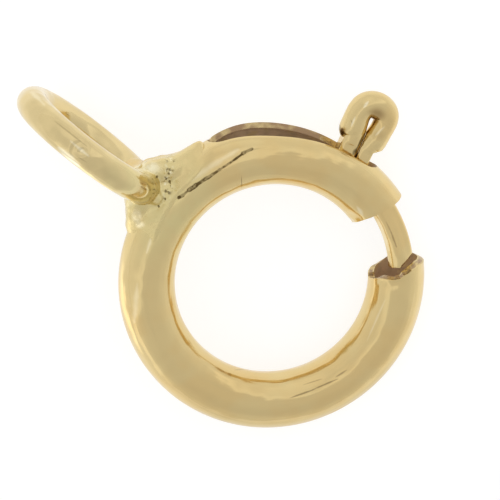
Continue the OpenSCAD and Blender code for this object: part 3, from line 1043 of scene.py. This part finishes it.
def solder_skin(context):
    looks, skin, place = new_skin(context, "solder_skin")
    at = skin.photo_place()
    upper = skin.parts(place)[2].step(-0.25, -0.05)
    colour, rough, height = polished(skin, place, looks.gold, looks.polish)
    stain = joint_stain(skin, place, at)
    colour = skin.mix(stain * 0.8, colour, looks.solder)
    waver = skin.grain(place, 5.0, 3.0)
    ragged = 0.4 + 0.6 * waver.step(0.38, 0.58)
    # A darker patch, then painted highlights in pale cream patches.
    for middle, radius, tone, strength in SOLDER_PATCHES_AND_HIGHLIGHTS:
        colour = skin.mix(upper * skin.spot(at, middle, radius, 1.2) * ragged * strength, colour, tone)
    crust = skin.stroke(at, *SOLDER_CRUST, 4.5, 5.0, 0.3, waver)
    pale = upper * crust * skin.grain(place, 13.0, 3.0).step(0.52, 0.66)
    colour = skin.mix(pale * 0.6, colour, (0.96, 0.90, 0.64))
    pits = upper * crust * skin.grain(place, 11.0, 4.0).step(0.45, 0.36)
    for middle, radius in SOLDER_PITS:
        pits = pits.larger(upper * skin.spot(at, middle, (radius, radius * 1.2), 0.9))
    colour = skin.mix(pits * 0.8, colour, looks.grime_and_shade)
    fine = skin.grain(place, 8.0, 4.0)
    height = height + fine * 1.6 + crust * skin.grain(place, 9.0, 3.0) * 3.0 - pits * 2.0
    return skin.surface(colour, rough + stain * 0.10 + fine * 0.06, (height, 0.6, MARK_DEPTH))


# Painted glow that the tarnish and the bare patches in the bore give off, which lifts its shade.
BORE_GLOW, BARE_GLOW = (0.046, 0.029, 0.016), (0.12, 0.080, 0.038)


def bore_tarnish_and_glow(context):
    looks, skin, place = new_skin(context, "bore_tarnish_and_glow")
    fine = skin.grain(place, 7.0, 4.0)
    bare = skin.grain(place, 2.6, 2.0).step(0.56, 0.66)
    colour = skin.mix(fine.step(0.3, 0.75), looks.bore, shade(looks.bore, 0.75))
    colour = skin.mix(bare * 0.6, colour, shade(looks.gold, 0.85))
    # Painted glow that lifts the bore's shade.
    glow = skin.mix(bare * 0.5, BORE_GLOW, BARE_GLOW)
    return skin.surface(
        colour, 0.4 + fine * 0.2, (fine, 0.4, CORROSION_DEPTH), 0.15 + bare * 0.6,
        {"Emission Color": glow, "Emission Strength": 1.0},
    )


# Painted dark shade in the creases of the mouth's cut face, in the photograph's pixels.
MOUTH_CREASE_SHADES = (
    ((384, 275.5), (403, 276.5), 1.2, 0.95), ((367.5, 273), (376, 275.5), 0.7, 0.7),
)


def cut_edge_gold(context):
    looks, skin, place = new_skin(context, "cut_edge_gold")
    at = skin.photo_place()
    turn, out, z = skin.tube_place(place)
    fine = skin.grain(place, 10.0, 3.0)
    in_slot = turn.step(80.0, 82.0) * z.step(0.10, -0.02)
    by_mouth = turn.step(50.0, 46.0)
    wall = ((out * out + z * z).root() - (TUBE_R - WALL / 2)).size()
    colour = skin.mix(fine.step(0.3, 0.7), looks.gold, shade(looks.gold, 0.8))
    dull = in_slot * (0.30 + 0.70 * skin.grain(place, 2.4, 2.0).step(0.62, 0.50))
    worn = 0.25 + 0.75 * skin.grain(place, 5.0, 2.0).step(0.40, 0.58)
    dull = dull.larger(by_mouth * wall.step(0.048, 0.020) * worn * 0.85)
    # Painted shade in the mouth's creases, in the tarnish's colour.
    for start, end, half_width, strength in MOUTH_CREASE_SHADES:
        line = by_mouth * skin.stroke(at, start, end, half_width, 0.8, 0.6, fine)
        dull = dull.larger(line * strength)
    colour = skin.mix(dull, colour, looks.tarnish)
    return skin.surface(colour, 0.16 + fine * 0.15, (fine, 0.5, CORROSION_DEPTH), 1.0 - dull * 0.7)


def spring_metal(context):
    looks, skin, place = new_skin(context, "spring_metal")
    fine = skin.grain(place, 12.0, 3.0)
    colour = skin.mix(fine.step(0.3, 0.7), looks.spring, shade(looks.spring, 0.6))
    return skin.surface(colour, 0.35 + fine * 0.2)


# Stage --------------------------------------------------------------------------------------------


# Brighter and darker parts of the light tent: direction round and up, inner and outer reach in
# degrees, and the light that each adds.
TENT_PANELS = (
    (262.0, 0.0, 10.0, 21.0, 0.30), (128.0, 45.0, 8.0, 27.0, 0.12), (325.0, 0.0, 20.0, 70.0, -0.11),
)
# The tent's light from low down, and how much less comes from overhead.
TENT_LOW, TENT_FALL = 0.90, 0.17
# The sheet overhead: the side it lies to, its crisp edge, where it pales, its light, and the share of
# that which it loses.
SHEET_TOWARDS, SHEET_EDGE, SHEET_END = (-0.93, 0.25, 0.0), (-0.05, 0.02), (0.0, 0.34)
SHEET_LIGHT, SHEET_LOSS = 0.27, 0.75
# The floor glows less past this edge, in metres from the middle, and more in a patch beside the ring
# that the lower left of the tube mirrors: its middle, half its size, and how much it glows.
POOL_EDGE, FAR_GLOW = (0.0105, 0.0058), 0.80
PATCH_AT, PATCH_HALF, PATCH_GLOW = (-0.0020, -0.0070), (0.0015, 0.0036), 1.75


class CLASP_OT_stage(bpy.types.Operator):
    """Sets out the pale floor, the soft studio light and the camera"""

    bl_idname = "clasp.stage"
    bl_label = "Stage"

    def execute(self, context):
        studio = context.scene.clasp_studio
        bm = bmesh.new()
        bmesh.ops.create_circle(bm, cap_ends=True, segments=96, radius=studio.floor_size)
        mesh = mesh_of(bm, "floor")
        mesh.materials.append(self.floor_paper(studio))
        floor = bpy.data.objects.new("floor", mesh)
        context.collection.objects.link(floor)
        self.light_room(context, studio)
        self.place_camera(context)
        return {"FINISHED"}

    def floor_paper(self, studio):
        paper = Finish(bpy.data.materials.new("floor_paper"))
        place = paper.node("ShaderNodeTexCoord", output="Object")
        fleck = paper.grain(place, 900.0)
        colour = paper.mix(fleck.step(0.2, 0.8), studio.floor_tone, shade(studio.floor_tone, 0.985))
        x, y, _ = paper.parts(place)
        pool = (x * x + y * y).root().step(*POOL_EDGE)
        glow = paper.mix(pool, (FAR_GLOW,) * 3, (1.0, 1.0, 1.0))
        x, y = (x - PATCH_AT[0]) / PATCH_HALF[0], (y - PATCH_AT[1]) / PATCH_HALF[1]
        glow = paper.mix((x * x + y * y).root().step(1.3, 0.7), glow, (PATCH_GLOW,) * 3)
        more = {"Specular IOR Level": 0.1, "Emission Color": glow, "Emission Strength": studio.floor_glow}
        return paper.surface(colour, 0.9, metallic=0.0, more=more)

    def light_room(self, context, studio):
        world = bpy.data.worlds.new("light_tent")
        context.scene.world = world
        room = Finish(world)
        direction = room.node("ShaderNodeTexCoord", output="Generated")
        height = room.along(direction, (0.0, 0.0, 1.0))
        light = studio.tent_light * (TENT_LOW - TENT_FALL * height.step(-0.1, 0.95))
        for turn, rise, inner, outer, extra in TENT_PANELS:
            turn, rise = radians(turn), radians(rise)
            towards = (cos(rise) * cos(turn), cos(rise) * sin(turn), sin(rise))
            facing = room.along(direction, towards)
            light = light + extra * facing.step(cos(radians(outer)), cos(radians(inner)))
        facing = room.along(direction, SHEET_TOWARDS)
        sheet = SHEET_LIGHT * facing.step(*SHEET_EDGE) * (1.0 - SHEET_LOSS * facing.step(*SHEET_END))
        light = light + sheet * height.step(0.1, 0.4)
        sockets = {"Color": (1.0, 0.995, 0.985, 1.0), "Strength": light}
        background = room.node("ShaderNodeBackground", sockets=sockets)
        room.node("ShaderNodeOutputWorld", sockets={"Surface": background})
        context.scene.view_settings.view_transform = "Standard"

    def place_camera(self, context):
        right, up, toward = photo_axes()
        middle = CENTRE - (RING_AT_PIXEL[0] - PHOTO_SIDE / 2) * PIXEL * right
        middle += (RING_AT_PIXEL[1] - PHOTO_SIDE / 2) * PIXEL * up
        data = bpy.data.cameras.new("camera")
        data.sensor_width = SENSOR
        data.lens = SENSOR * CAMERA_FAR / (PHOTO_SIDE * PIXEL)
        data.clip_start, data.clip_end = 0.01, 10.0
        camera = bpy.data.objects.new("camera", data)
        turned = Matrix((right, up, toward)).transposed().to_4x4()
        camera.matrix_world = Matrix.Translation(middle + toward * CAMERA_FAR) @ turned
        context.collection.objects.link(camera)
        context.scene.camera = camera


class ClaspSizes(bpy.types.PropertyGroup):
    edge_round: bpy.props.FloatProperty(
        name="Edge round", description="Width of the round on the tube's cut edges",
        default=0.018 * MM, min=0.0, precision=6, subtype="DISTANCE", unit="LENGTH",
    )
    spring_wire: bpy.props.FloatProperty(
        name="Spring wire", description="Diameter of the spring's wire",
        default=0.10 * MM, min=0.02 * MM, precision=6, subtype="DISTANCE", unit="LENGTH",
    )
    spring_turns: bpy.props.IntProperty(
        name="Spring turns", description="Number of turns of the spring", default=22, min=8, max=40
    )


def colour_setting(name, description, default):
    return bpy.props.FloatVectorProperty(
        name=name, description=description, default=default, subtype="COLOR", size=3, min=0, max=1
    )


class ClaspLooks(bpy.types.PropertyGroup):
    gold: colour_setting("Gold", "Colour of the clean gold", (0.75, 0.589, 0.290))
    wire_gold: colour_setting("Eye's gold", "Colour of the eye's paler gold", (0.76, 0.61, 0.315))
    solder: colour_setting("Solder", "Colour of the rough solder by the eye", (0.73, 0.635, 0.32))
    # The colour of the dirt in the groove and the pits, and also of the painted dark shade in the groove, the
    # slit, the notch and the dark lines.
    grime_and_shade: colour_setting("Grime", "Colour of the dirt in the groove and the pits", (0.115, 0.072, 0.022))
    polish: bpy.props.FloatProperty(
        name="Polish", description="Roughness of the polished gold",
        default=0.12, min=0.02, max=1.0, subtype="FACTOR",
    )
    # Also the colour of the painted shade in the mouth's creases.
    tarnish: colour_setting("Tarnish", "Colour of the tarnish on the cut edges", (0.36, 0.225, 0.115))
    bore: colour_setting("Bore", "Colour of the dull inside of the tube", (0.58, 0.42, 0.27))
    spring: colour_setting("Spring", "Colour of the spring's wire", (0.42, 0.28, 0.12))


class ClaspStudio(bpy.types.PropertyGroup):
    floor_size: bpy.props.FloatProperty(
        name="Floor", description="Radius of the floor's disc",
        default=0.4, min=0.05, subtype="DISTANCE", unit="LENGTH",
    )
    floor_tone: colour_setting("Floor tone", "Colour of the floor's paper", (0.42, 0.42, 0.42))
    floor_glow: bpy.props.FloatProperty(
        name="Floor glow", description="Light that the floor gives off, which keeps it white",
        default=0.73, min=0.0,
    )
    tent_light: bpy.props.FloatProperty(
        name="Tent light", description="Strength of the light from all round", default=1.0, min=0.0
    )


PIECES = (CLASP_OT_tube, CLASP_OT_eye, CLASP_OT_solder, CLASP_OT_tongue, CLASP_OT_spring, CLASP_OT_stage)


class CLASP_PT_panel(bpy.types.Panel):
    bl_idname = "CLASP_PT_panel"
    bl_label = "Spring ring clasp"
    bl_space_type = "VIEW_3D"
    bl_region_type = "UI"
    bl_category = "Clasp"

    def draw(self, context):
        for group in (context.scene.clasp_sizes, context.scene.clasp_looks, context.scene.clasp_studio):
            box = self.layout.box()
            for name in group.bl_rna.properties.keys():
                if name not in ("rna_type", "name"):
                    box.prop(group, name)
        for piece in PIECES:
            self.layout.operator(piece.bl_idname)


CLASSES = (ClaspSizes, ClaspLooks, ClaspStudio, *PIECES, CLASP_PT_panel)


def register():
    for part in CLASSES:
        bpy.utils.register_class(part)
    bpy.types.Scene.clasp_sizes = bpy.props.PointerProperty(type=ClaspSizes)
    bpy.types.Scene.clasp_looks = bpy.props.PointerProperty(type=ClaspLooks)
    bpy.types.Scene.clasp_studio = bpy.props.PointerProperty(type=ClaspStudio)


def unregister():
    del bpy.types.Scene.clasp_studio
    del bpy.types.Scene.clasp_looks
    del bpy.types.Scene.clasp_sizes
    for part in reversed(CLASSES):
        bpy.utils.unregister_class(part)


def main():
    register()
    bpy.ops.clasp.tube()
    bpy.ops.clasp.eye()
    bpy.ops.clasp.solder()
    bpy.ops.clasp.tongue()
    bpy.ops.clasp.spring()
    bpy.ops.clasp.stage()


if __name__ == "__main__":
    main()
